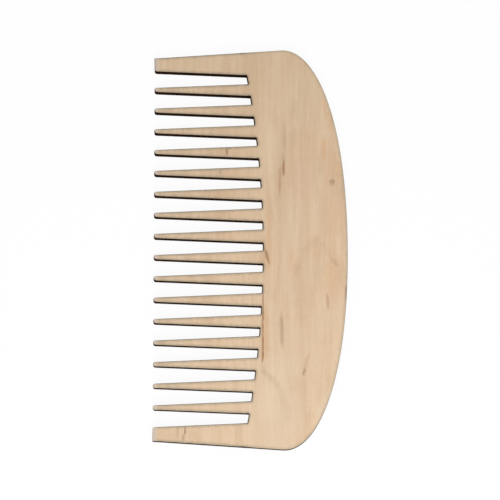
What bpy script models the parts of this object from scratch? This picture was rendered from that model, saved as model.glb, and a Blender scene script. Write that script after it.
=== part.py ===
"""Wide-tooth comb, cut with a laser from one sheet of three-ply birch plywood.

The comb lies on its back face. X runs across it, from the tooth tips to the rim of the grip, Y runs
along it, and Z is up. The origin is the middle of its box, on the face that it lies on. Every layer
of the sheet has the same outline, because one cut goes through them all.
"""

import math

import bpy
from mathutils import Vector
from mathutils.geometry import interpolate_bezier

MM = 0.001

# Layers of the sheet
FACE_VENEER = 0.9 * MM
CORE_VENEER = 1.0 * MM
GLUE_LINE = 0.1 * MM

# Teeth and the tapering gaps between them
GAP_COUNT = 17
GAP_MOUTH_WIDTH = 5.4 * MM
GAP_END_WIDTH = 2.4 * MM
TOOTH_TIP_WIDTH = 1.6 * MM
TOOTH_LENGTH = 35.8 * MM
GAP_END_ARC_RADIUS = 320.0 * MM
TOOTH_TIP_ROUNDING = 0.8 * MM
GAP_CORNER_ROUNDING = 0.25 * MM

# Wide tooth at each end, whose outer edge leans outwards towards the grip
END_TOOTH_TIP_WIDTH = 4.6 * MM
END_TOOTH_ROUNDING = 0.25 * MM
END_EDGE_LEAN = math.radians(3.87)

# Grip, whose rim is one long curve from shoulder to shoulder
GRIP_DEPTH = 27.8 * MM
SHOULDER_SETBACK = 21.5 * MM
SHOULDER_TENSION_SHARE = 0.49
RIM_TENSION_SHARE = 0.70

# Points along the curves
ROUNDING_STEP_COUNT = 4
RIM_STEP_COUNT = 36

# Places that follow from the sizes
TOOTH_PITCH = GAP_MOUTH_WIDTH + TOOTH_TIP_WIDTH
RIM_X = (TOOTH_LENGTH + GRIP_DEPTH) / 2
TIP_X = -RIM_X
MIDDLE_GAP_END_X = TIP_X + TOOTH_LENGTH
OUTER_GAP_Y = (GAP_COUNT - 1) / 2 * TOOTH_PITCH
END_TOOTH_TIP_Y = OUTER_GAP_Y + GAP_MOUTH_WIDTH / 2 + END_TOOTH_TIP_WIDTH

# Finishes
BIRCH_FACE = (0.72, 0.53, 0.35)
BIRCH_CORE = (0.50, 0.33, 0.19)
CURED_RESIN = (0.07, 0.03, 0.015)
WOOD_ROUGHNESS = 0.65
RESIN_ROUGHNESS = 0.4


def clear_scene():
    """Remove every object of the open scene."""
    for scene_object in list(bpy.data.objects):
        bpy.data.objects.remove(scene_object, do_unlink=True)


def make_collection(name):
    """A new collection in the scene."""
    collection = bpy.data.collections.new(name)
    bpy.context.scene.collection.children.link(collection)
    return collection


def make_material(name, colour, roughness):
    """A plain matt material."""
    material = bpy.data.materials.new(name)
    material.use_nodes = True
    shader = material.node_tree.nodes["Principled BSDF"]
    shader.inputs["Base Color"].default_value = (*colour, 1)
    shader.inputs["Roughness"].default_value = roughness
    shader.inputs["Metallic"].default_value = 0
    material.diffuse_color = (*colour, 1)
    return material


def rounded_corner(before, corner, after, radius):
    """Points of the arc that rounds a corner, no wider than its two walls allow."""
    to_before, to_after = before - corner, after - corner
    half_angle = to_before.angle(to_after) / 2
    room = min(to_before.length, to_after.length) / 2
    radius = min(radius, room * math.tan(half_angle))
    reach = radius / math.tan(half_angle)
    middle = (to_before.normalized() + to_after.normalized()).normalized()
    centre = corner + middle * radius / math.sin(half_angle)
    start = corner + to_before.normalized() * reach - centre
    end = corner + to_after.normalized() * reach - centre
    turns = (start.slerp(end, step / ROUNDING_STEP_COUNT) for step in range(ROUNDING_STEP_COUNT + 1))
    return [centre + turned.normalized() * radius for turned in turns]


def gap_wall(gap_y, side):
    """Both ends of one straight wall of a gap: at the tip line, and on the arc that all gaps end on.

    Side is 1 for the wall towards +Y and -1 for the one towards -Y.
    """
    mouth = Vector((TIP_X, gap_y + side * GAP_MOUTH_WIDTH / 2))
    narrowing = (GAP_MOUTH_WIDTH - GAP_END_WIDTH) / 2
    along = Vector((TOOTH_LENGTH, -side * narrowing)).normalized()
    from_centre = mouth - Vector((MIDDLE_GAP_END_X - GAP_END_ARC_RADIUS, 0))
    nearing = from_centre.dot(along)
    beyond = from_centre.length_squared - GAP_END_ARC_RADIUS**2
    return mouth, mouth + along * (math.sqrt(nearing**2 - beyond) - nearing)


def shoulder(side):
    """Where the straight outer edge of an end tooth runs into the curve of the rim."""
    x = RIM_X - SHOULDER_SETBACK
    return Vector((x, side * (END_TOOTH_TIP_Y + (x - TIP_X) * math.tan(END_EDGE_LEAN))))


def toothed_side():
    """Points of the side that combs, from the end tooth at +Y to the one at -Y."""
    corners = [(Vector((TIP_X, END_TOOTH_TIP_Y)), END_TOOTH_ROUNDING)]
    for gap in range(GAP_COUNT):
        gap_y = OUTER_GAP_Y - gap * TOOTH_PITCH
        upper_mouth, upper_end = gap_wall(gap_y, 1)
        lower_mouth, lower_end = gap_wall(gap_y, -1)
        corners += [
            (upper_mouth, TOOTH_TIP_ROUNDING),
            (upper_end, GAP_CORNER_ROUNDING),
            (lower_end, GAP_CORNER_ROUNDING),
            (lower_mouth, TOOTH_TIP_ROUNDING),
        ]
    corners.append((Vector((TIP_X, -END_TOOTH_TIP_Y)), END_TOOTH_ROUNDING))

    path = [shoulder(1)] + [corner for corner, _ in corners] + [shoulder(-1)]
    points = []
    for before, (corner, radius), after in zip(path, corners, path[2:]):
        points += rounded_corner(before, corner, after, radius)
    return points


def rim():
    """Points of the rim of the grip, from the shoulder at -Y round to the one at +Y."""
    lean = Vector((math.cos(END_EDGE_LEAN), math.sin(END_EDGE_LEAN)))
    middle, upper_shoulder = Vector((RIM_X, 0)), shoulder(1)
    middle_pull = middle + Vector((0, upper_shoulder.y * RIM_TENSION_SHARE))
    shoulder_pull = upper_shoulder + lean * SHOULDER_SETBACK * SHOULDER_TENSION_SHARE
    upper = interpolate_bezier(middle, middle_pull, shoulder_pull, upper_shoulder, RIM_STEP_COUNT)
    lower = [Vector((point.x, -point.y)) for point in reversed(upper)]
    return lower + upper[1:]


def make_layer(name, outline, base, thickness, material, collection, parent):
    """One layer of the sheet, cut to the outline of the comb, with its lower face at the height base."""
    curve = bpy.data.curves.new(name, "CURVE")
    curve.dimensions = "2D"
    curve.fill_mode = "BOTH"
    curve.extrude = thickness / 2
    spline = curve.splines.new("POLY")
    spline.points.add(len(outline) - 1)
    for spline_point, place in zip(spline.points, outline):
        spline_point.co = (place.x, place.y, 0, 1)
    spline.use_cyclic_u = True
    spline.use_smooth = False
    curve.materials.append(material)
    layer = bpy.data.objects.new(name, curve)
    layer.location.z = base + thickness / 2
    layer.parent = parent
    collection.objects.link(layer)


def build_comb():
    """The whole comb: three veneers with their grain crossed, and a glue line on each side of the core."""
    collection = make_collection("wooden_comb")
    sheet = bpy.data.objects.new("comb_sheet", None)
    collection.objects.link(sheet)

    face_birch = make_material("face_birch", BIRCH_FACE, WOOD_ROUGHNESS)
    core_birch = make_material("core_birch", BIRCH_CORE, WOOD_ROUGHNESS)
    resin = make_material("cured_resin", CURED_RESIN, RESIN_ROUGHNESS)
    layers = (
        ("back_veneer", FACE_VENEER, face_birch),
        ("back_glue_line", GLUE_LINE, resin),
        ("core_veneer", CORE_VENEER, core_birch),
        ("front_glue_line", GLUE_LINE, resin),
        ("front_veneer", FACE_VENEER, face_birch),
    )
    outline = toothed_side() + rim()
    base = 0
    for name, thickness, material in layers:
        make_layer(name, outline, base, thickness, material, collection, sheet)
        base += thickness


clear_scene()
build_comb()
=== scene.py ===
"""Dressed scene of a wide-tooth comb, laser-cut from one sheet of three-ply birch.

Five layers stand for the five CAD nodes: three birch plies with their grain crossed, and the two
films of cured resin between them. One Geometry Nodes tree cuts every layer to the same outline,
with scorched walls and arrises, and stores how scorched each place is for the materials.
"""

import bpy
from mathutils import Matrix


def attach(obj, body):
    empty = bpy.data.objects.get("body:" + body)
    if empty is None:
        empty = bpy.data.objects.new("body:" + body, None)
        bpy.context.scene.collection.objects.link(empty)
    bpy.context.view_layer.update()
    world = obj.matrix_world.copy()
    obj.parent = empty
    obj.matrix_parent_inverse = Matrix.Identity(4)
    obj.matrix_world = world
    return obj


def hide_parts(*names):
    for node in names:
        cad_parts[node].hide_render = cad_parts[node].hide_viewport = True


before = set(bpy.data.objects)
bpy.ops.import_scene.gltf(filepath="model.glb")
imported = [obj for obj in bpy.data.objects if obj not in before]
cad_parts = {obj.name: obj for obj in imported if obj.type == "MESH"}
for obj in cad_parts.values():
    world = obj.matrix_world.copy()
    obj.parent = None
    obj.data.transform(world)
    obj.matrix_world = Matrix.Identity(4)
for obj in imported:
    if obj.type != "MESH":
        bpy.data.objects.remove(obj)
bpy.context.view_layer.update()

import logging
import math
from dataclasses import dataclass, fields
from enum import Enum
from types import SimpleNamespace

import bpy
from bpy.types import ID, Material, Node, NodeSocket, NodeTree, Object
from mathutils import Matrix, Vector

log = logging.getLogger("comb")

MM = 0.001
ROOT_BODY = "root"
WHITE = (1.0, 1.0, 1.0, 1.0)
RELIEF_DEPTH = 0.02 * MM

# Names of the numbers that are kept on the points of a layer
INSET = "inset"
DWELL = "dwell"
WORN = "worn"
# Painted shade: how much the char is widened on the -Y side of each tooth tip
PAINTED_SHADE = "drift"
RING = "ring"

Colour = tuple[float, float, float]
Place = tuple[float, float, float]
Span = tuple[float, float]


class Grain(Enum):
    """Which way the fibres of a ply run."""

    ALONG_COMB = 0
    ALONG_TEETH = 1


@dataclass(frozen=True)
class Field:
    """A value that varies over a shape, with the arithmetic that its node tree does on it."""

    bench: "NodeBench"
    socket: NodeSocket

    def __add__(self, other: "Field | float") -> "Field":
        """Sum of the two."""
        return self.bench.math("ADD", self, other)

    def __sub__(self, other: "Field | float") -> "Field":
        """This less the other."""
        return self.bench.math("SUBTRACT", self, other)

    def __rsub__(self, other: float) -> "Field":
        """The other less this."""
        return self.bench.math("SUBTRACT", other, self)

    def __mul__(self, other: "Field | float") -> "Field":
        """Product of the two."""
        return self.bench.math("MULTIPLY", self, other)

    def __truediv__(self, other: "Field | float") -> "Field":
        """This over the other."""
        return self.bench.math("DIVIDE", self, other)

    def __neg__(self) -> "Field":
        """This with its sign turned."""
        return self.bench.math("MULTIPLY", self, -1)

    def __abs__(self) -> "Field":
        """This without its sign."""
        return self.bench.math("ABSOLUTE", self)

    def above(self, limit: "Field | float") -> "Field":
        """1 where this is more than the limit, otherwise 0."""
        return self.bench.math("GREATER_THAN", self, limit)

    def below(self, limit: "Field | float") -> "Field":
        """1 where this is less than the limit, otherwise 0."""
        return self.bench.math("LESS_THAN", self, limit)

    def blend(self, low: "Field | float", high: "Field | float") -> "Field":
        """Low where this is 0, high where it is 1, and a straight mix between."""
        return self * (high - low) + low

    def between(self, low: float, high: float) -> "Field":
        """Smooth step from 0 where this is low to 1 where it is high."""
        span = {"Value": self, "From Min": low, "From Max": high}
        return self.bench.field("ShaderNodeMapRange", span, interpolation_type="SMOOTHSTEP")


@dataclass(frozen=True)
class NodeBench:
    """Adds nodes to one geometry or shader tree and joins them."""

    tree: NodeTree

    def plug(self, value: object, socket: NodeSocket) -> None:
        """Join or set an input.

        Args:
            value: A field to join to it, or a plain value to set on it.
            socket: The input.
        """
        if isinstance(value, Field):
            self.tree.links.new(value.socket, socket)
        else:
            socket.default_value = value

    def add(self, kind: str, inputs: dict | None = None, **settings: object) -> Node:
        """A new node.

        Args:
            kind: Blender's name of the node type.
            inputs: Value or field for each named or numbered input.
            settings: Properties of the node, set before its inputs.

        Returns:
            The node.
        """
        node = self.tree.nodes.new(kind)
        for name, value in settings.items():
            setattr(node, name, value)
        self.feed(node, inputs or {})
        return node

    def feed(self, node: Node, inputs: dict) -> None:
        """Join or set several inputs of a node.

        Args:
            node: The node.
            inputs: Value or field for each named or numbered input.
        """
        for name, value in inputs.items():
            if isinstance(name, str):
                socket = next(s for s in node.inputs if s.name == name and s.enabled)
            else:
                socket = node.inputs[name]
            self.plug(value, socket)

    def field(
        self, kind: str, inputs: dict | None = None, out: str | int = 0, **settings: object
    ) -> Field:
        """One output of a new node.

        Args:
            kind: Blender's name of the node type.
            inputs: Value or field for each named or numbered input.
            out: Name or number of the output.
            settings: Properties of the node.

        Returns:
            The output as a field.
        """
        node = self.add(kind, inputs, **settings)
        if isinstance(out, str):
            return Field(self, next(s for s in node.outputs if s.name == out and s.enabled))
        return Field(self, node.outputs[out])

    def math(self, operation: str, *values: Field | float) -> Field:
        """Arithmetic on one or two values."""
        return self.field("ShaderNodeMath", dict(enumerate(values)), operation=operation)

    def vector_math(self, operation: str, *values: object, out: str | int = 0) -> Field:
        """Arithmetic on vectors."""
        inputs = dict(enumerate(values))
        return self.field("ShaderNodeVectorMath", inputs, out, operation=operation)

    def vector(self, x: Field | float, y: Field | float, z: Field | float) -> Field:
        """A vector from its three parts."""
        return self.field("ShaderNodeCombineXYZ", {0: x, 1: y, 2: z})

    def parts(self, vector: Field) -> tuple[Field, Field, Field]:
        """The three parts of a vector."""
        node = self.add("ShaderNodeSeparateXYZ", {0: vector})
        return tuple(Field(self, socket) for socket in node.outputs[:3])

    def noise(self, place: Field, scale: float, detail: float, roughness: float) -> Field:
        """Soft noise from 0 to 1."""
        inputs = {"Vector": place, "Scale": scale, "Detail": detail, "Roughness": roughness}
        return self.field("ShaderNodeTexNoise", inputs, noise_dimensions="3D")

    def mix(self, share: Field | float, first: object, second: object, kind: str = "MIX") -> Field:
        """Mix two colours.

        Args:
            share: How much of the second, from 0 to 1.
            first: Colour or field.
            second: Colour or field.
            kind: Blender's name of the way to mix.

        Returns:
            The mixed colour.
        """
        node = self.add("ShaderNodeMix", data_type="RGBA", blend_type=kind, clamp_factor=True)
        sockets = [s for s in node.inputs if s.enabled]
        for value, socket in zip((share, first, second), sockets):
            self.plug((*value, 1.0) if isinstance(value, tuple) else value, socket)
        return Field(self, next(s for s in node.outputs if s.enabled))

    def relief(self, height: Field, strength: float) -> Field:
        """Normals of a fine relief."""
        inputs = {"Strength": strength, "Distance": RELIEF_DEPTH, "Height": height}
        return self.field("ShaderNodeBump", inputs)

    def tinted(self, colour: Field, tint: object) -> Field:
        """A colour times another."""
        return self.mix(1.0, colour, tint, "MULTIPLY")


def new_object(name: str, data: ID) -> Object:
    """Put a new object in the scene.

    Args:
        name: Its name.
        data: Its mesh, lamp or camera.

    Returns:
        The object.
    """
    new = bpy.data.objects.new(name, data)
    bpy.context.scene.collection.objects.link(new)
    return new


@dataclass(frozen=True)
class CombOutline:
    """Sizes of the outline that the laser cut, and of the mesh that follows it."""

    gap_count: int = 17
    gap_mouth_width: float = 5.4 * MM
    gap_end_width: float = 2.4 * MM
    tooth_tip_width: float = 1.6 * MM
    tooth_length: float = 35.8 * MM
    gap_end_arc_radius: float = 320.0 * MM
    tooth_tip_rounding: float = 0.8 * MM
    tooth_tip_sanding: float = 0.08 * MM
    gap_corner_rounding: float = 0.25 * MM
    end_tooth_tip_width: float = 4.6 * MM
    end_tooth_rounding: float = 0.25 * MM
    end_edge_lean: float = math.radians(3.87)
    grip_depth: float = 27.8 * MM
    shoulder_setback: float = 21.5 * MM
    shoulder_tension: float = 0.49
    rim_tension: float = 0.7
    rim_points: int = 97
    corner_steps: int = 6
    longest_step: float = 0.5 * MM
    face_mesh_x: float = 0.5 * MM
    face_mesh_y: float = 0.35 * MM


@dataclass(frozen=True)
class LayerCut:
    """Place of one layer in the sheet, and what the beam did to its edge."""

    base: float
    thickness: float
    upper_arris: float = 0.0
    lower_arris: float = 0.0
    recess: float = 0.0
    edge_strip: float = 0.12 * MM
    kerf_taper: float = 0.08 * MM
    ripple: float = 0.015 * MM
    least_outer_arris: float = 0.03 * MM
    sheet_thickness: float = 3.0 * MM
    tooth_dwell: float = 0.19
    gap_end_dwell: float = 0.57


class LayerTree:
    """Geometry Nodes tree that cuts one layer of the sheet to the outline of the comb."""

    CORNERS_PER_GAP = 4
    END_TOOTH_CORNERS = 2
    PROFILE_POINTS = 9
    ARRIS_MIDDLE_SHARE = 0.3
    RIPPLE_NOISE = (900.0, 1.0, 0.5)
    RING_TOLERANCE = 0.1
    GRID_LENGTH_SHARE = 2.2
    GRID_MARGIN_SHARE = 0.5
    RAY_LENGTH = 2.0
    WELD_DISTANCE = 0.002 * MM
    FLAT_NORMAL = 0.999
    SHARP_ANGLE = math.radians(40)
    TOOTH_DWELL_FADE = (1.0 * MM, 5.0 * MM)
    GAP_END_DWELL_FADE = (0.4 * MM, 1.1 * MM)
    SANDING_FADE = (0.7 * MM, 2.2 * MM)
    # Painted shade at the tooth tips: full on the -Y side of each tooth, fading out below y = -14
    # mm and gone below -48 mm, half on the end teeth
    SHADE_ACROSS_TIP = (0.07, -0.05)
    DRIFT_ALONG_COMB = (-48.0 * MM, -14.0 * MM)
    END_TOOTH_SHADE = 0.5

    def __init__(self) -> None:
        """Build the tree, with an input for each size."""
        self.tree = bpy.data.node_groups.new("comb_layer", "GeometryNodeTree")
        self.bench = NodeBench(self.tree)
        self.identifiers: dict[str, str] = {}
        sizes = fields(CombOutline) + fields(LayerCut)
        kinds = {size.name: "Int" if size.type is int else "Float" for size in sizes}
        for name, kind in (kinds | {"material": "Material"}).items():
            title, kind = name.replace("_", " ").title(), "NodeSocket" + kind
            socket = self.tree.interface.new_socket(name=title, in_out="INPUT", socket_type=kind)
            self.identifiers[name] = socket.identifier
        self.tree.interface.new_socket(
            name="Geometry", in_out="OUTPUT", socket_type="NodeSocketGeometry"
        )

        entry = self.tree.nodes.new("NodeGroupInput")
        size = SimpleNamespace(
            **{name: Field(self.bench, entry.outputs[i]) for i, name in enumerate(self.identifiers)}
        )
        self.size = size
        self.pitch = size.gap_mouth_width + size.tooth_tip_width
        self.outer_gap_y = (size.gap_count - 1) / 2 * self.pitch
        self.tip_x = (size.tooth_length + size.grip_depth) / -2
        self.tip_y = self.outer_gap_y + size.gap_mouth_width / 2 + size.end_tooth_tip_width

        outline = self.outline()
        edge = self.node("CurveToMesh", {"Curve": outline, "Profile Curve": self.wall_profile()})
        layer = self.measured(self.capped(edge), outline)
        layer = self.node("RealizeInstances", {0: layer})
        layer = self.node("SetMaterial", {"Geometry": layer, "Material": size.material})
        leave = self.tree.nodes.new("NodeGroupOutput")
        self.tree.links.new(layer.socket, leave.inputs[0])

    def node(
        self, kind: str, inputs: dict | None = None, out: str | int = 0, **settings: object
    ) -> Field:
        """One output of a new Geometry Nodes node, whose kind is given without its prefix."""
        return self.bench.field("GeometryNode" + kind, inputs, out, **settings)

    def gap_corner(self, index: Field) -> tuple[Field, Field, Field]:
        """Place and rounding of one of the four corners of a gap.

        Args:
            index: Number of the corner, from 1 at the +Y end.

        Returns:
            Its x, its y and the radius that rounds it.
        """
        bench, size = self.bench, self.size
        gap = bench.math("FLOOR", (index - 1) / self.CORNERS_PER_GAP)
        place = index - 1 - gap * self.CORNERS_PER_GAP
        # Corners 0 and 1 are on the wall towards +Y, and corners 1 and 2 at the end of the gap
        side = place.above(1.5) * -2 + 1
        at_end = 1 - abs(place - 1.5).above(1)
        mouth_y = ((size.gap_count - 1) / 2 - gap) * self.pitch + side * size.gap_mouth_width / 2
        narrowing = (size.gap_mouth_width - size.gap_end_width) / 2
        slope = bench.math("ARCTAN2", narrowing, size.tooth_length)
        along_x, along_y = bench.math("COSINE", slope), bench.math("SINE", slope) * side * -1
        radius = size.gap_end_arc_radius
        from_centre_x = radius - size.tooth_length
        nearing = from_centre_x * along_x + mouth_y * along_y
        beyond = from_centre_x * from_centre_x + mouth_y * mouth_y - radius * radius
        reach = (bench.math("SQRT", nearing * nearing - beyond) - nearing) * at_end
        x = self.tip_x + along_x * reach + (1 - at_end) * size.tooth_tip_sanding
        y = mouth_y + along_y * reach
        return x, y, at_end.blend(size.tooth_tip_rounding, size.gap_corner_rounding)

    def rim_place(self, share: Field) -> tuple[Field, Field]:
        """Place on the rim of the grip.

        Args:
            share: From 0 at the shoulder at -Y to 1 at the one at +Y.

        Returns:
            Its x and its y.
        """
        bench, size = self.bench, self.size
        signed = share * 2 - 1
        t = abs(signed)
        rest = 1 - t
        rim_x, lean = -self.tip_x, size.end_edge_lean
        shoulder_x = rim_x - size.shoulder_setback
        shoulder_y = self.tip_y + (shoulder_x - self.tip_x) * bench.math("TANGENT", lean)
        pull = size.shoulder_setback * size.shoulder_tension
        pull_x = shoulder_x + pull * bench.math("COSINE", lean)
        pull_y = shoulder_y + pull * bench.math("SINE", lean)
        first = rest * rest * rest
        second = rest * rest * t * 3
        third = rest * t * t * 3
        last = t * t * t
        x = (first + second) * rim_x + third * pull_x + last * shoulder_x
        y = second * shoulder_y * size.rim_tension + third * pull_y + last * shoulder_y
        return x, y * bench.math("SIGN", signed)

    def outline(self) -> Field:
        """Draw the outline.

        Returns:
            The closed curve of the cut, corners rounded, in steps short enough to ripple.
        """
        bench, size = self.bench, self.size
        index = self.node("InputIndex")
        corner_count = size.gap_count * self.CORNERS_PER_GAP + self.END_TOOTH_CORNERS
        is_first = 1 - index.above(0.5)
        is_rim = index.above(corner_count - 0.5)
        is_last = index.above(corner_count - 1.5) - is_rim
        is_end = is_first + is_last
        gap_x, gap_y, gap_radius = self.gap_corner(index)
        rim_x, rim_y = self.rim_place((index - corner_count) / (size.rim_points - 1))
        is_gap = 1 - is_end - is_rim
        x = is_gap * gap_x + is_end * self.tip_x + is_rim * rim_x
        y = is_gap * gap_y + (is_first - is_last) * self.tip_y + is_rim * rim_y
        radius = is_gap * gap_radius + is_end * size.end_tooth_rounding

        count = corner_count + size.rim_points
        points = self.node("Points", {"Count": count, "Position": bench.vector(x, y, 0)})
        curve = self.node("PointsToCurves", {0: points})
        curve = self.node("SetSplineCyclic", {"Geometry": curve, "Cyclic": True})
        rounding = {"Count": size.corner_steps, "Radius": radius, "Limit Radius": True}
        curve = self.node("FilletCurve", {"Curve": curve} | rounding, mode="POLY")
        place = self.node("InputPosition")
        step = {"Point Index": index, "Offset": 1}
        step = {"Index": self.node("OffsetPointInCurve", step, "Point Index"), "Value": place}
        next_place = self.node("FieldAtIndex", step, data_type="FLOAT_VECTOR")
        length = bench.vector_math("DISTANCE", place, next_place, out="Value")
        curve = self.node("SubdivideCurve", {0: curve, "Cuts": length / size.longest_step})
        curve = self.node("SetCurveNormal", {"Curve": curve}, mode="Z_UP")
        tangent_x, tangent_y, _ = bench.parts(self.node("InputTangent"))
        depth = bench.noise(place, *self.RIPPLE_NOISE) * size.ripple * -1
        shift = bench.vector(tangent_y * depth, tangent_x * depth * -1, 0)
        return self.node("SetPosition", {"Geometry": curve, "Offset": shift})

    def choose(self, index: Field, options: list[Field | float]) -> Field:
        """Pick one of several options at each place.

        Args:
            index: Number of the option, from 0.
            options: The options.

        Returns:
            The picked option.
        """
        node = self.bench.add("GeometryNodeIndexSwitch", data_type="FLOAT")
        while len(node.index_switch_items) < len(options):
            node.index_switch_items.new()
        self.bench.plug(index, node.inputs[0])
        for socket, option in zip(node.inputs[1:], options):
            self.bench.plug(option, socket)
        return Field(self.bench, node.outputs[0])

    def wall_profile(self) -> Field:
        """Draw the section of the layer's edge.

        Returns:
            Its curve, from the upper face down to the lower one.
        """
        bench, size = self.bench, self.size
        index = self.node("InputIndex")
        top, upper, lower = size.thickness, size.upper_arris, size.lower_arris
        strip, share = size.edge_strip, self.ARRIS_MIDDLE_SHARE
        outward = self.choose(
            index, [-strip, -upper, upper * -share, 0.0, 0.0, 0.0, lower * -share, -lower, -strip]
        )
        height = self.choose(
            index,
            [top, top, top - upper * share, top - upper, top / 2, lower, lower * share, 0.0, 0.0],
        )
        taper = (size.base + height) / size.sheet_thickness * size.kerf_taper
        place = bench.vector(outward - size.recess - taper, -(height + size.base), 0)
        points = self.node("Points", {"Count": self.PROFILE_POINTS, "Position": place})
        return self.stored(self.node("PointsToCurves", {0: points}), RING, index)

    def stored(self, geometry: Field, name: str, value: Field) -> Field:
        """The geometry with a number kept on each of its points under a name."""
        inputs = {"Geometry": geometry, "Name": name, "Value": value}
        return self.node("StoreNamedAttribute", inputs, data_type="FLOAT", domain="POINT")

    def raised(self, geometry: Field, height: Field) -> Field:
        """The geometry, moved up by a height."""
        shift = self.bench.vector(0, 0, height)
        return self.node("SetPosition", {"Geometry": geometry, "Offset": shift})

    def distance(self, place: Field, mesh: Field) -> Field:
        """How far a place is from the nearest edge of a mesh."""
        inputs = {"Geometry": mesh, "Sample Position": place}
        return self.node("Proximity", inputs, "Distance", target_element="EDGES")

    def joined(self, *geometries: Field) -> Field:
        """Join several geometries.

        Args:
            geometries: The geometries.

        Returns:
            All of them as one.
        """
        join = self.bench.add("GeometryNodeJoinGeometry")
        for geometry in geometries:
            self.tree.links.new(geometry.socket, join.inputs[0])
        return Field(self.bench, join.outputs[0])

    def face_of(self, edge: Field, ring: int, height: Field, arris: Field) -> Field:
        """The flat face that fills one of the two open rings of the edge.

        An outer face, with its wide arris, gets a fine mesh that can carry each place's numbers.

        Args:
            edge: The swept edge.
            ring: Number of the ring.
            height: Height of the face.
            arris: Size of the arris round it.

        Returns:
            The face, pointing up.
        """
        bench, size = self.bench, self.size
        number = self.node("InputNamedAttribute", {"Name": RING}, data_type="FLOAT")
        off_ring = abs(number - ring)
        off_ring = self.node("FieldOnDomain", {0: off_ring}, data_type="FLOAT", domain="EDGE")
        chosen = off_ring.below(self.RING_TOLERANCE)
        curve = self.node("MeshToCurve", {"Mesh": edge, "Selection": chosen})
        plain = self.node("FillCurve", {"Curve": curve}, mode="TRIANGLES")

        width, length = self.tip_x * -2, self.tip_y * self.GRID_LENGTH_SHARE
        counts = {"Vertices X": width / size.face_mesh_x, "Vertices Y": length / size.face_mesh_y}
        grid = self.node("MeshGrid", {"Size X": width, "Size Y": length} | counts)
        place = self.node("InputPosition")
        inside = self.node(
            "Raycast",
            {
                "Target Geometry": plain,
                "Source Position": bench.vector_math("ADD", place, (0.0, 0.0, 1.0)),
                "Ray Direction": (0.0, 0.0, -1.0),
                "Ray Length": self.RAY_LENGTH,
            },
            "Is Hit",
        )
        boundary = self.raised(self.node("CurveToMesh", {"Curve": curve}), -height)
        margin_width = size.face_mesh_y * self.GRID_MARGIN_SHARE
        off_margin = self.distance(place, boundary).above(margin_width)
        outside = 1 - inside * off_margin * arris.above(size.least_outer_arris)
        waste = {"Geometry": grid, "Selection": outside}
        grid = self.node("DeleteGeometry", waste, domain="POINT", mode="ALL")
        neighbours = self.node("InputMeshEdgeNeighbors")
        waste = {"Geometry": grid, "Selection": neighbours.below(0.5)}
        grid = self.node("DeleteGeometry", waste, domain="EDGE", mode="EDGE_FACE")
        hole = self.node("MeshToCurve", {"Mesh": grid, "Selection": neighbours.below(1.5)})
        margin = self.node("FillCurve", {"Curve": self.joined(curve, hole)}, mode="TRIANGLES")
        return self.raised(self.joined(margin, grid), height)

    def capped(self, edge: Field) -> Field:
        """Close the layer with its two flat faces.

        Args:
            edge: The swept edge.

        Returns:
            The layer as one closed mesh, walls smooth and faces flat.
        """
        size = self.size
        upper = self.face_of(edge, 0, size.base + size.thickness, size.upper_arris)
        lower = self.face_of(edge, self.PROFILE_POINTS - 1, size.base, size.lower_arris)
        lower = self.node("FlipFaces", {0: lower})
        solid = self.joined(upper, lower, edge)
        solid = self.node("MergeByDistance", {0: solid, "Distance": self.WELD_DISTANCE})
        _, _, up = self.bench.parts(self.node("InputNormal"))
        is_wall = abs(up).below(self.FLAT_NORMAL)
        solid = self.node("SetShadeSmooth", {0: solid, "Shade Smooth": is_wall})
        is_sharp = self.node("InputMeshEdgeAngle").above(self.SHARP_ANGLE)
        sharp = {0: solid, "Selection": is_sharp, "Shade Smooth": False}
        return self.node("SetShadeSmooth", sharp, domain="EDGE")

    def measured(self, layer: Field, outline: Field) -> Field:
        """The layer with what the beam, its smoke and the sanding did to each point, and with
        painted shade at the tooth tips.

        The numbers are how far inside the cut it lies, in millimetres, how long the beam dwelt near
        it, how far the sanding took the scorch off, and how much painted shade widens the char at a
        tip.

        Args:
            layer: The closed layer.
            outline: The curve of the cut.

        Returns:
            The layer with the four numbers on its points.
        """
        bench, size = self.bench, self.size
        x, y, z = bench.parts(self.node("InputPosition"))
        edge = self.node("CurveToMesh", {"Curve": outline})
        apart = self.distance(bench.vector(x, y, 0), edge)
        trimmed = apart - size.recess - z / size.sheet_thickness * size.kerf_taper
        inset = bench.math("MAXIMUM", trimmed / MM, 0.0)

        arc_x = self.tip_x + size.tooth_length - size.gap_end_arc_radius
        from_centre = bench.vector_math("LENGTH", bench.vector(x - arc_x, y, 0), out="Value")
        beyond = from_centre - size.gap_end_arc_radius
        in_teeth = 1 - beyond.between(*self.TOOTH_DWELL_FADE)
        at_gap_end = 1 - abs(beyond).between(*self.GAP_END_DWELL_FADE)
        dwell = at_gap_end.blend(in_teeth * size.tooth_dwell, size.gap_end_dwell)
        worn = 1 - (x - self.tip_x).between(*self.SANDING_FADE)

        # Painted shade: 1 on the -Y side of each tooth, where the rounded tip lies in shade, 0 on
        # its +Y side
        teeth_along = y / self.pitch
        off_middle = teeth_along - bench.math("FLOOR", teeth_along) - 0.5
        across_tip = off_middle.between(*self.SHADE_ACROSS_TIP)
        on_end_tooth = abs(y).above(self.outer_gap_y)
        drift = on_end_tooth.blend(across_tip, self.END_TOOTH_SHADE)
        drift = drift * y.between(*self.DRIFT_ALONG_COMB)
        for name, value in ((INSET, inset), (DWELL, dwell), (WORN, worn), (PAINTED_SHADE, drift)):
            layer = self.stored(layer, name, value)
        return layer

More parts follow.
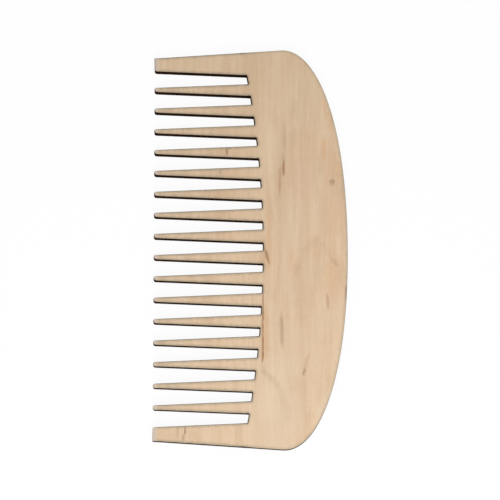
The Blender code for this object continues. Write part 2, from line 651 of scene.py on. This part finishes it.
    def cut(
        self, name: str, outline: CombOutline, layer: LayerCut, material: Material
    ) -> Object:
        """Cut one layer.

        Args:
            name: Name of the piece.
            outline: Sizes of the outline.
            layer: Place and edge of the layer.
            material: Its finish.

        Returns:
            The piece, a plain mesh in its place.
        """
        piece = new_object(name, bpy.data.meshes.new(name))
        modifier = piece.modifiers.new("cut", "NODES")
        modifier.node_group = self.tree
        for sizes in (outline, layer):
            for size in fields(sizes):
                modifier[self.identifiers[size.name]] = getattr(sizes, size.name)
        modifier[self.identifiers["material"]] = material
        graph = bpy.context.evaluated_depsgraph_get()
        mesh = bpy.data.meshes.new_from_object(
            piece.evaluated_get(graph), preserve_all_data_layers=True, depsgraph=graph
        )
        piece.modifiers.remove(modifier)
        mesh.materials.clear()
        mesh.materials.append(material)
        mesh.attributes.remove(mesh.attributes[RING])
        piece.data = mesh
        mesh.name = name
        return piece


class Stain(Enum):
    """Kinds of natural colour marks in the birch, each with its linear colour."""

    RUST = (0.27, 0.115, 0.038)
    BROWN = (0.2, 0.11, 0.06)
    GREY = (0.36, 0.27, 0.2)
    AMBER = (0.62, 0.36, 0.18)
    ROSE = (0.66, 0.43, 0.31)
    CREAM = (0.84, 0.7, 0.54)


RUST, BROWN, GREY, AMBER, ROSE, CREAM = Stain
MARK_LENGTHS = ("x", "y", "half_length", "half_width", "bend")


@dataclass(frozen=True)
class Mark:
    """One natural streak or fleck on a face, its place and size in millimetres.

    It lies along Y. A positive turn, in degrees, moves its +Y end towards -X.
    """

    x: float
    y: float
    half_length: float
    half_width: float
    stain: Stain
    strength: float
    turn: float = 0.0
    bend: float = 0.0

    def sizes(self) -> dict[str, float]:
        """Its place and size for the mark group, in metres and radians."""
        lengths = {name: getattr(self, name) * MM for name in MARK_LENGTHS}
        return lengths | {"turn": math.radians(self.turn)}


# Each row: x, y, half length, half width, stain, strength, turn, bend
FRONT_ROWS = (
    # Broad tones
    (7.5, -53, 26, 8.5, CREAM, 0.24),
    (13.2, 2, 24, 3.6, CREAM, 0.15),
    (16, 48, 16, 6, CREAM, 0.08),
    (7.5, 33, 10, 2.4, CREAM, 0.16),
    (-24, -48, 24, 5, CREAM, 0.12),
    (-6.5, 18, 26, 6, AMBER, 0.15),
    (-7.5, 34, 36, 9, BROWN, 0.07),
    (16.1, -33.5, 4, 1.2, ROSE, 0.22),
    (6.5, -25, 10, 3.5, CREAM, 0.15),
    (14.5, -55, 10, 3, CREAM, 0.12),
    (24, -52, 12, 2.2, CREAM, 0.24, -33),
    (28.3, 36.5, 7, 2.5, CREAM, 0.16),
    (29.6, 21, 6, 3, BROWN, 0.09),
    (5.4, -2, 7.5, 2.4, AMBER, 0.26),
    (13.8, -6.5, 8, 2, AMBER, 0.24),
    (17.8, -2, 18, 1.1, CREAM, 0.14),
    (22.4, -7, 10, 2, BROWN, 0.05),
    (14.3, -16, 5, 1, BROWN, 0.08),
    (14.7, 37, 4.5, 1, BROWN, 0.09),
    (14.8, 46, 4.5, 1.6, BROWN, 0.06),
    (23.2, 28, 5.5, 1.5, BROWN, 0.08),
    (14.5, -34, 12, 4.5, CREAM, 0.13),
    (27.8, 3, 24, 4, AMBER, 0.18),
    (26.5, -12, 9, 4, AMBER, 0.2),
    (26.4, 29, 12, 3.6, AMBER, 0.2),
    (20.9, 0.2, 6, 2.6, AMBER, 0.16),
    (18.2, 33.5, 8, 4.5, AMBER, 0.1),
    (16, 22.5, 9, 5.5, ROSE, 0.24),
    # Rust streak in the upper half
    (10.86, 26.2, 3.5, 0.42, RUST, 0.7, 1.5, 0.04),
    (10.75, 29.8, 1.9, 0.6, GREY, 0.36),
    (11.95, 24.3, 1.3, 0.6, ROSE, 0.5),
    (11.25, 36.5, 6, 0.5, GREY, 0.3),
    (9.66, 22.3, 6.5, 0.52, RUST, 0.34, -1.8),
    # Small knot
    (26.8, 21.6, 1.25, 0.96, BROWN, 0.44, -72),
    (26.7, 20.4, 1.4, 0.6, BROWN, 0.1, 90),
    # Rust line along the ends of the lower gaps
    (4.02, -19.6, 6.4, 0.32, RUST, 0.58),
    (4.02, -22.8, 2.2, 0.4, RUST, 0.62),
    (3.74, -25.4, 2.2, 0.38, RUST, 0.48, -4),
    (3.86, -31, 7.4, 0.34, RUST, 0.62, 0, 0.06),
    (3.92, -31.4, 3.2, 0.34, RUST, 0.4),
    (3.8, -36.2, 2.3, 0.44, RUST, 0.56, -7),
    (4.1, -2.5, 10, 0.8, BROWN, 0.13),
    (4.05, -40, 2.2, 0.7, BROWN, 0.12, 10),
    (5, -28, 11, 1, AMBER, 0.45),
    # Single streaks and flecks of the grip
    (9.98, -27.5, 6.8, 0.78, BROWN, 0.36, 1.3),
    (25.03, -18.2, 3.7, 0.42, RUST, 0.42, 5),
    (26, -17, 5, 1.6, ROSE, 0.3),
    (17.2, -41, 1.45, 0.54, BROWN, 0.47, -14),
    (18.05, -37.6, 4.2, 0.6, RUST, 0.17, -15),
    (5.3, -2.9, 4.2, 1, AMBER, 0.25, 16),
    (5.38, -3.15, 3.6, 0.52, BROWN, 0.56, 16),
    # Faint arch at the lower end
    (5, -41.7, 2.8, 1.1, BROWN, 0.12, 54),
    (7.6, -44.1, 3, 1.3, BROWN, 0.11, 41),
    (9.6, -47.9, 4.2, 1.4, BROWN, 0.08, 16),
    (11.1, -53, 4.6, 1.5, BROWN, 0.06, 11),
    (5.2, -51, 8, 3.5, CREAM, 0.13),
    # Amber patches, and the streak at the rim
    (24.1, 32.5, 4.6, 0.9, AMBER, 0.38),
    (29, 26, 4, 0.8, AMBER, 0.35),
    (25.5, 44, 8, 1, AMBER, 0.25, 15),
    (5.9, 9, 11, 0.85, AMBER, 0.28),
    (19.5, -57, 4, 2, AMBER, 0.25),
    (31.15, -15.6, 3.8, 0.42, BROWN, 0.62, 1),
    # Faint arch in the middle of the grip
    (14.2, -11.5, 5.5, 1, BROWN, 0.08, -7),
    (15.7, -5.2, 3.6, 1.3, BROWN, 0.06, -25),
    (15.1, -7.6, 2.8, 1.5, BROWN, 0.1, -8),
    (19.1, 0.2, 4.8, 1.2, BROWN, 0.05, -37),
    (21.2, 1.4, 2.8, 0.9, BROWN, 0.08),
    (28.7, 0.7, 5, 1.2, CREAM, 0.14),
    (29.6, -9.2, 5, 1.4, BROWN, 0.06),
    (11, -7.2, 12, 0.9, CREAM, 0.1),
    (22.7, 1.7, 2.7, 1.1, BROWN, 0.05, 48),
    (25.3, -2, 3.7, 1.1, BROWN, 0.07, 28),
    (27.5, -5.2, 2.2, 0.75, BROWN, 0.17, 41),
    # Flecks on the teeth
    (-21.27, -59.8, 1.8, 0.26, BROWN, 0.85),
    (-21.78, -62.2, 1.4, 0.52, BROWN, 0.4),
    (-23.64, -60.7, 2.6, 0.36, BROWN, 0.26),
    (-7.72, 31.6, 1.5, 0.5, BROWN, 0.5, 2),
    (-7.2, 32.8, 1.2, 0.45, BROWN, 0.4, 90),
    (-9.83, 25, 1.4, 0.46, GREY, 0.42),
)

BACK_ROWS = (
    (18.5, 30, 6, 0.35, BROWN, 0.3, 2, 0.4),
    (20, 27.5, 8.5, 0.9, AMBER, 0.35, 3, 0.5),
    (9.4, -14, 8, 0.3, GREY, 0.55, -2, 0.5),
    (24.2, -22.5, 3.2, 0.32, BROWN, 0.34, 0, 0.2),
    (14.6, 5.5, 0.9, 0.45, BROWN, 0.45, 8),
    (13.2, 8.5, 4.2, 0.7, ROSE, 0.5, 4, 0.3),
    (27, 8, 7, 0.5, AMBER, 0.3, -3, 0.4),
    (8, 45, 5, 0.6, GREY, 0.25, -16, 0.4),
    (19, -46, 5, 0.7, AMBER, 0.32, -10, 0.4),
    (-12, 48.6, 1, 0.25, GREY, 0.5),
    (-20.5, 61.5, 2.2, 0.24, GREY, 0.6),
)

FRONT_MARKS = tuple(Mark(*row) for row in FRONT_ROWS)
BACK_MARKS = tuple(Mark(*row) for row in BACK_ROWS)


class WoodGroup:
    """A shader node group with named inputs and outputs."""

    def __init__(self, name: str, *numbers: str) -> None:
        """Start the group.

        Args:
            name: Its name.
            numbers: The names of its inputs besides the place, which is a vector.
        """
        self.tree = bpy.data.node_groups.new(name, "ShaderNodeTree")
        self.bench = NodeBench(self.tree)
        kinds = {"place": "NodeSocketVector"} | dict.fromkeys(numbers, "NodeSocketFloat")
        for title, kind in kinds.items():
            self.tree.interface.new_socket(name=title, in_out="INPUT", socket_type=kind)
        entry = self.tree.nodes.new("NodeGroupInput")
        self.entry = SimpleNamespace(
            **{title: Field(self.bench, entry.outputs[title]) for title in kinds}
        )
        self.exit = self.tree.nodes.new("NodeGroupOutput")

    def give(self, title: str, value: Field) -> None:
        """Send a value to a new output."""
        self.tree.interface.new_socket(name=title, in_out="OUTPUT", socket_type="NodeSocketFloat")
        self.tree.links.new(value.socket, self.exit.inputs[title])

    def placed(self, bench: NodeBench, **inputs: object) -> SimpleNamespace:
        """One use of the group in a material.

        Args:
            bench: The bench of the material's tree.
            inputs: Value or field for each input.

        Returns:
            Its outputs as fields, by name.
        """
        node = bench.add("ShaderNodeGroup", inputs, node_tree=self.tree)
        return SimpleNamespace(**{out.name: Field(bench, out) for out in node.outputs})


@dataclass(frozen=True)
class CellNoise:
    """Soft noise with cells of a given size in mm: across the grain, along it, through the ply."""

    across: float
    along: float
    through: float
    detail: float = 2.0
    roughness: float = 0.5

    def at(self, place: Field) -> Field:
        """Its value at a place.

        Args:
            place: The place, in metres.

        Returns:
            The value, from 0 to 1.
        """
        scale = tuple(1 / (cell * MM) for cell in (self.across, self.along, self.through))
        scaled = place.bench.vector_math("MULTIPLY", place, scale)
        return place.bench.noise(scaled, 1.0, self.detail, self.roughness)


# Figure of the birch
SEED_STEPS = (1.0, 0.37, 0.61)
SWAY = CellNoise(16.0, 45.0, 16.0, 1.0)
SWAY_REACH = 4 * MM
BROAD_BAND = CellNoise(5.5, 70.0, 5.5)
NARROW_BAND = CellNoise(1.3, 26.0, 1.3)
BROAD_BAND_SHARE = 0.62
COARSE_FIBRE = CellNoise(0.42, 7.0, 0.42, 3.0, 0.6)
FINE_FIBRE = CellNoise(0.13, 3.0, 0.13, 2.0, 0.6)
COARSE_FIBRE_SHARE = 0.55
VESSEL = CellNoise(0.16, 1.9, 0.16, 1.0)
VESSEL_RANGE = (0.66, 0.74)
MOTTLE = CellNoise(3.2, 2.0, 3.2, 3.0, 0.6)

# Edge of a mark
MARK_BEND_TURN = 3.1
MARK_FRAY = CellNoise(0.35, 2.4, 0.35)
MARK_FRAY_SHARE = 1.6
LARGEST_MARK_FRAY = 1.2 * MM
LEAST_MARK_TAPER = 0.0002
MARK_SIDE_FADE = (1.5, 0.1)
MARK_END_FRAY = 0.5
MARK_END_FADE = (1.0, 0.45)

# Char and toasted wood
CHAR_EDGE = CellNoise(0.22, 0.22, 0.22, 2.0, 0.6)
CHAR_FRAY = 0.5
CHAR_FADE = (1.0, 0.25)
SOOT = CellNoise(1.4, 1.4, 0.9, 3.0, 0.6)
TOAST_FRAY = 0.9
TOAST_FADE = (1.0, 0.0)
WALL_LINE = CellNoise(0.14, 0.14, 4.0, 2.0, 0.6)


def figure_group() -> WoodGroup:
    """Build the birch's own figure, with the grain along Y.

    Returns:
        The group, which gives bands, fibres, open vessels and mottle.
    """
    group = WoodGroup("birch_figure", "seed")
    bench, place, seed = group.bench, group.entry.place, group.entry.seed
    place = bench.vector_math("ADD", place, bench.vector(*(seed * step for step in SEED_STEPS)))
    sway = (SWAY.at(place) - 0.5) * SWAY_REACH
    place = bench.vector_math("ADD", place, bench.vector(sway, 0, 0))
    broad, narrow = BROAD_BAND.at(place), NARROW_BAND.at(place)
    group.give("band", broad * BROAD_BAND_SHARE + narrow * (1 - BROAD_BAND_SHARE))
    coarse, fine = COARSE_FIBRE.at(place), FINE_FIBRE.at(place)
    group.give("fibre", coarse * COARSE_FIBRE_SHARE + fine * (1 - COARSE_FIBRE_SHARE))
    group.give("vessel", VESSEL.at(place).between(*VESSEL_RANGE))
    group.give("mottle", MOTTLE.at(place))
    return group


def mark_group() -> WoodGroup:
    """Build a soft spindle-shaped streak, straight or slightly bent, with frayed edges.

    Returns:
        The group, which gives the streak's mask.
    """
    group = WoodGroup("birch_mark", "turn", *MARK_LENGTHS)
    bench, size = group.bench, group.entry
    x, y, _ = bench.parts(size.place)
    x, y = x - size.x, y - size.y
    cosine, sine = bench.math("COSINE", size.turn), bench.math("SINE", size.turn)
    across = x * cosine + y * sine
    along = y * cosine - x * sine
    wave = bench.math("SINE", along * MARK_BEND_TURN / size.half_length) * size.bend
    fray = MARK_FRAY.at(size.place) - 0.5
    reach = bench.math("MINIMUM", size.half_width * MARK_FRAY_SHARE, LARGEST_MARK_FRAY)
    ends = abs(along) / size.half_length
    taper = bench.math("MAXIMUM", 1 - ends * ends, LEAST_MARK_TAPER)
    width = size.half_width * bench.math("SQRT", taper)
    side = abs(across - wave + fray * reach) / width
    end = (ends + fray * MARK_END_FRAY).between(*MARK_END_FADE)
    group.give("mask", side.between(*MARK_SIDE_FADE) * end)
    return group


def scorch_group() -> WoodGroup:
    """Build what the beam did.

    Returns:
        The group, which gives char, toasted wood beside it, upright lines on a wall and soot.
    """
    group = WoodGroup("beam_scorch", "inset", "char_width", "toast_width")
    place, inset = group.entry.place, group.entry.inset
    fray = CHAR_EDGE.at(place) - 0.5
    soot = SOOT.at(place)
    char = inset / group.entry.char_width + fray * CHAR_FRAY
    group.give("mask", char.between(*CHAR_FADE))
    toast = inset / group.entry.toast_width + (soot - 0.5) * TOAST_FRAY
    group.give("toast", toast.between(*TOAST_FADE))
    group.give("line", WALL_LINE.at(place))
    group.give("soot", soot)
    return group


@dataclass(frozen=True)
class Groups:
    """The shader node groups, each built once."""

    figure: WoodGroup
    mark: WoodGroup
    scorch: WoodGroup


def new_material(name: str) -> tuple[Material, NodeBench, Node]:
    """Start a material.

    Args:
        name: Its name.

    Returns:
        The material, the bench of its tree and its Principled BSDF.
    """
    material = bpy.data.materials.new(name)
    material.use_nodes = True
    shader = material.node_tree.nodes["Principled BSDF"]
    return material, NodeBench(material.node_tree), shader


@dataclass(frozen=True)
class BirchFinish:
    """Sanded birch veneer with its scorched edge."""

    name: str
    slot: str
    grain: Grain
    seed: float
    marks: tuple[Mark, ...] = ()
    pale: Colour = (0.71, 0.536, 0.371)
    tan: Colour = (0.575, 0.405, 0.258)
    band_range: Span = (0.36, 0.66)
    band_share: float = 0.55
    fibre_range: Span = (0.3, 0.7)
    fibre_share: float = 0.3
    vessel: Colour = (0.47, 0.3, 0.175)
    vessel_share: float = 0.3
    mottle: tuple[Colour, Colour] = ((0.95, 0.95, 0.95), (1.05, 1.05, 1.05))
    toast: Colour = (0.27, 0.245, 0.185)
    toast_width: float = 1.15
    least_smoke: float = 0.4
    smoke_per_dwell: float = 1.4
    most_smoke: float = 0.66
    tip_smoke: float = 0.18
    char_width: float = 0.08
    dwell_char_width: float = 0.55
    tip_char_width: float = 0.13
    # Char width at a tip where painted shade stands in for the shade on the rounded tip's -Y side
    shade_char_width: float = 0.38
    worn_tip: Colour = (0.56, 0.49, 0.435)
    worn_share: float = 0.62
    char_end_grain: Colour = (0.0045, 0.0015, 0.0007)
    char_long_grain: Colour = (0.034, 0.014, 0.006)
    end_grain_range: Span = (0.25, 0.85)
    soot: tuple[Colour, Colour] = ((0.55, 0.55, 0.55), (1.6, 1.5, 1.4))
    wall_line: Colour = (1.7, 1.6, 1.5)
    wood_roughness: float = 0.52
    fibre_roughness: float = 0.16
    char_roughness: float = 0.9
    specular: float = 0.01
    coat: float = 0.12
    coat_roughness: float = 0.45
    fibre_relief: float = 0.6
    vessel_relief: float = 0.7
    line_relief: float = 1.6
    soot_relief: float = 0.5
    relief_strength: float = 0.55

    def material(self, groups: Groups) -> Material:
        """Build the material.

        Args:
            groups: The shader node groups.

        Returns:
            The material.
        """
        material, bench, shader = new_material(self.name)
        place = bench.field("ShaderNodeTexCoord", out="Object")
        grain_place = place
        if self.grain is Grain.ALONG_TEETH:
            turned = {"Vector": place, "Rotation": (0, 0, math.pi / 2)}
            grain_place = bench.field("ShaderNodeMapping", turned, vector_type="POINT")
        figure = groups.figure.placed(bench, place=grain_place, seed=self.seed)
        inset, dwell, worn, drift = (
            bench.field("ShaderNodeAttribute", out="Fac", attribute_name=name)
            for name in (INSET, DWELL, WORN, PAINTED_SHADE)
        )
        edge_char_width = dwell.blend(self.char_width, self.dwell_char_width)
        # Painted shade: the char at a tooth tip widens on its -Y side
        tip_char_width = drift.blend(self.tip_char_width, self.shade_char_width)
        char_width = worn.blend(edge_char_width, tip_char_width)
        widths = {"char_width": char_width, "toast_width": self.toast_width}
        scorch = groups.scorch.placed(bench, place=place, inset=inset, **widths)

        band = figure.band.between(*self.band_range) * self.band_share
        fibre = figure.fibre.between(*self.fibre_range) * self.fibre_share
        colour = bench.mix(band + fibre, self.pale, self.tan)
        colour = bench.mix(figure.vessel * self.vessel_share, colour, self.vessel)
        colour = bench.tinted(colour, bench.mix(figure.mottle, *self.mottle))
        for mark in self.marks:
            mask = groups.mark.placed(bench, place=place, **mark.sizes()).mask
            colour = bench.mix(mask * mark.strength, colour, mark.stain.value)

        smoke = dwell * self.smoke_per_dwell + self.least_smoke
        smoke = worn.blend(bench.math("MINIMUM", smoke, self.most_smoke), self.tip_smoke)
        colour = bench.mix(scorch.toast * smoke, colour, self.toast)
        colour = bench.mix(worn * self.worn_share, colour, self.worn_tip)
        colour = bench.mix(scorch.mask, colour, self.charred(scorch))
        bench.feed(shader, {"Base Color": colour} | self.surface(figure, scorch))
        return material

    def charred(self, scorch: SimpleNamespace) -> Field:
        """Colour of the charred walls, darkest on end grain.

        Args:
            scorch: Outputs of the scorch group.

        Returns:
            The colour.
        """
        bench = scorch.soot.bench
        normal_x, normal_y, _ = bench.parts(bench.field("ShaderNodeNewGeometry", out="Normal"))
        facing = normal_y if self.grain is Grain.ALONG_COMB else normal_x
        end_grain = abs(facing).between(*self.end_grain_range)
        char = bench.mix(end_grain, self.char_long_grain, self.char_end_grain)
        char = bench.tinted(char, bench.mix(scorch.soot, *self.soot))
        return bench.mix(scorch.line, char, bench.tinted(char, self.wall_line))

    def surface(self, figure: SimpleNamespace, scorch: SimpleNamespace) -> dict[str, Field | float]:
        """How the wood and the char shine, and their relief.

        Args:
            figure: Outputs of the birch figure.
            scorch: Outputs of the scorch group.

        Returns:
            Value or field for each input of the shader.
        """
        roughness = figure.fibre * self.fibre_roughness + self.wood_roughness
        wood_relief = figure.fibre * self.fibre_relief - figure.vessel * self.vessel_relief
        char_relief = scorch.line * self.line_relief + scorch.soot * self.soot_relief
        height = scorch.mask.blend(wood_relief, char_relief)
        return {
            "Roughness": scorch.mask.blend(roughness, self.char_roughness),
            "Specular IOR Level": self.specular,
            "Coat Weight": scorch.mask.blend(self.coat, 0.0),
            "Coat Roughness": self.coat_roughness,
            "Normal": height.bench.relief(height, self.relief_strength),
        }


@dataclass(frozen=True)
class ResinFinish:
    """Cured adhesive, charred where the beam cut it."""

    name: str = "cured_resin_film"
    slot: str = "cured_resin"
    dark: Colour = (0.0035, 0.0018, 0.001)
    brown: Colour = (0.011, 0.0045, 0.0022)
    roughness: float = 0.5
    line_roughness: float = 0.25
    specular: float = 0.2
    relief_strength: float = 0.5

    def material(self, groups: Groups) -> Material:
        """Build the material.

        Args:
            groups: The shader node groups.

        Returns:
            The material.
        """
        material, bench, shader = new_material(self.name)
        place = bench.field("ShaderNodeTexCoord", out="Object")
        scorch = groups.scorch.placed(bench, place=place)
        surface = {
            "Base Color": bench.mix(scorch.soot, self.dark, self.brown),
            "Roughness": scorch.line * self.line_roughness + self.roughness,
            "Specular IOR Level": self.specular,
            "Normal": bench.relief(scorch.line, self.relief_strength),
        }
        bench.feed(shader, surface)
        return material


@dataclass(frozen=True)
class Ply:
    """One layer of the sheet: the CAD node it stands for, its cut and its finish."""

    name: str
    node: str
    cut: LayerCut
    finish: BirchFinish | ResinFinish


@dataclass(frozen=True)
class CombSheet:
    """The whole comb, layer on layer from the back face up."""

    outline: CombOutline = CombOutline()
    face_thickness: float = 0.9 * MM
    core_thickness: float = 1.0 * MM
    film_thickness: float = 0.1 * MM
    arris: float = 0.05 * MM
    inner_arris: float = 0.012 * MM
    film_recess: float = 0.03 * MM
    core_char: Colour = (0.013, 0.0048, 0.0019)

    def plies(self) -> list[Ply]:
        """List the layers.

        Returns:
            The five of them, from the back face up.
        """
        face, film = self.face_thickness, self.film_thickness
        inner, outer, recess = self.inner_arris, self.arris, self.film_recess
        along, across, resin = Grain.ALONG_COMB, Grain.ALONG_TEETH, ResinFinish()
        back = BirchFinish("birch_back_face", "face_birch", along, seed=0.43, marks=BACK_MARKS)
        core = BirchFinish(
            "birch_core", "core_birch", across, seed=0.91, char_long_grain=self.core_char
        )
        front = BirchFinish("birch_front_face", "face_birch", along, seed=0.0, marks=FRONT_MARKS)
        rows = (
            ("back_ply", "back_veneer", face, inner, outer, 0.0, back),
            ("back_film", "back_glue_line", film, 0.0, 0.0, recess, resin),
            ("core_ply", "core_veneer", self.core_thickness, inner, inner, 0.0, core),
            ("front_film", "front_glue_line", film, 0.0, 0.0, recess, resin),
            ("front_ply", "front_veneer", face, outer, inner, 0.0, front),
        )
        plies, base = [], 0.0
        for name, node, thickness, upper, lower, inward, finish in rows:
            plies.append(Ply(name, node, LayerCut(base, thickness, upper, lower, inward), finish))
            base += thickness
        return plies

    def build(self) -> None:
        """Cut and dress every layer, and hand each to the frame."""
        tree = LayerTree()
        groups = Groups(figure_group(), mark_group(), scorch_group())
        materials: dict[str, Material] = {}
        for ply in self.plies():
            if ply.finish.name not in materials:
                materials[ply.finish.name] = ply.finish.material(groups)
            piece = tree.cut(ply.name, self.outline, ply.cut, materials[ply.finish.name])
            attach(piece, ROOT_BODY)
            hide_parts(ply.node)
            log.info("%s stands for %s, %d faces", ply.name, ply.node, len(piece.data.polygons))


@dataclass(frozen=True)
class Studio:
    """White floor, soft light and the camera of the photograph."""

    floor_size: float = 6.0
    floor_gap: float = 0.00005
    floor_white: float = 0.9
    floor_own_white: float = 0.94
    sky_light: float = 0.56
    lamp_place: Place = (0.0, -0.34, 0.42)
    lamp_size: float = 0.3
    lamp_watts: float = 2.0
    camera_place: Place = (-10.0 * MM, -103.09 * MM, 620.44 * MM)
    camera_turn: Place = (9.38, -0.884, -0.148)
    lens: float = 138.12
    sensor_width: float = 36.0
    clip_start: float = 0.01

    def build(self) -> None:
        """Set up all of it."""
        self.floor()
        self.sky()
        self.lamp()
        self.camera()
        bpy.context.scene.view_settings.view_transform = "Standard"

    def white_to_camera(self, bench: NodeBench) -> Field:
        """Pick out the rays that see white.

        Args:
            bench: The bench of the tree.

        Returns:
            1 for a ray from the camera, a reflection or glass, otherwise 0.
        """
        rays = bench.add("ShaderNodeLightPath").outputs
        camera, glossy, glass = (
            Field(bench, rays[f"Is {kind} Ray"]) for kind in ("Camera", "Glossy", "Transmission")
        )
        return bench.math("MAXIMUM", bench.math("MAXIMUM", camera, glossy), glass)

    def floor(self) -> None:
        """A wide floor just under the comb, white to the camera and still holding the shadow."""
        half = self.floor_size / 2
        mesh = bpy.data.meshes.new("studio_floor")
        corners = [(-half, -half), (half, -half), (half, half), (-half, half)]
        mesh.from_pydata([(x, y, -self.floor_gap) for x, y in corners], [], [(0, 1, 2, 3)])
        floor = new_object("studio_floor", mesh)
        material, bench, shader = new_material("white_paper")
        material.node_tree.nodes.remove(shader)
        white = (self.floor_white,) * 3 + (1.0,)
        paper = bench.field("ShaderNodeBsdfDiffuse", {"Color": white})
        glow = bench.field("ShaderNodeEmission", {"Color": WHITE, "Strength": 1.0})
        share = self.white_to_camera(bench) * self.floor_own_white
        blend = bench.field("ShaderNodeMixShader", {0: share, 1: paper, 2: glow})
        bench.plug(blend, material.node_tree.nodes["Material Output"].inputs["Surface"])
        mesh.materials.append(material)

    def sky(self) -> None:
        """Even light from all round, seen as white."""
        world = bpy.data.worlds.new("studio_sky")
        world.use_nodes = True
        bpy.context.scene.world = world
        bench = NodeBench(world.node_tree)
        background = world.node_tree.nodes["Background"].inputs
        bench.plug(WHITE, background["Color"])
        bench.plug(self.white_to_camera(bench).blend(self.sky_light, 1.0), background["Strength"])

    def lamp(self) -> None:
        """A square area lamp that points at the comb."""
        data = bpy.data.lights.new("window_lamp", "AREA")
        data.size = self.lamp_size
        data.energy = self.lamp_watts
        lamp = new_object("window_lamp", data)
        turn = (-Vector(self.lamp_place)).to_track_quat("-Z", "Y")
        lamp.matrix_world = Matrix.Translation(self.lamp_place) @ turn.to_matrix().to_4x4()

    def camera(self) -> None:
        """The camera, where the fit of the photograph's edges puts it."""
        data = bpy.data.cameras.new("photo_camera")
        data.lens = self.lens
        data.sensor_width = self.sensor_width
        data.clip_start = self.clip_start
        camera = new_object("photo_camera", data)
        camera.location = self.camera_place
        camera.rotation_euler = [math.radians(angle) for angle in self.camera_turn]
        bpy.context.scene.camera = camera


def main() -> None:
    """Build the comb and the studio round it."""
    logging.basicConfig(level=logging.INFO, format="%(message)s")
    CombSheet().build()
    Studio().build()


if __name__ == "__main__":
    main()
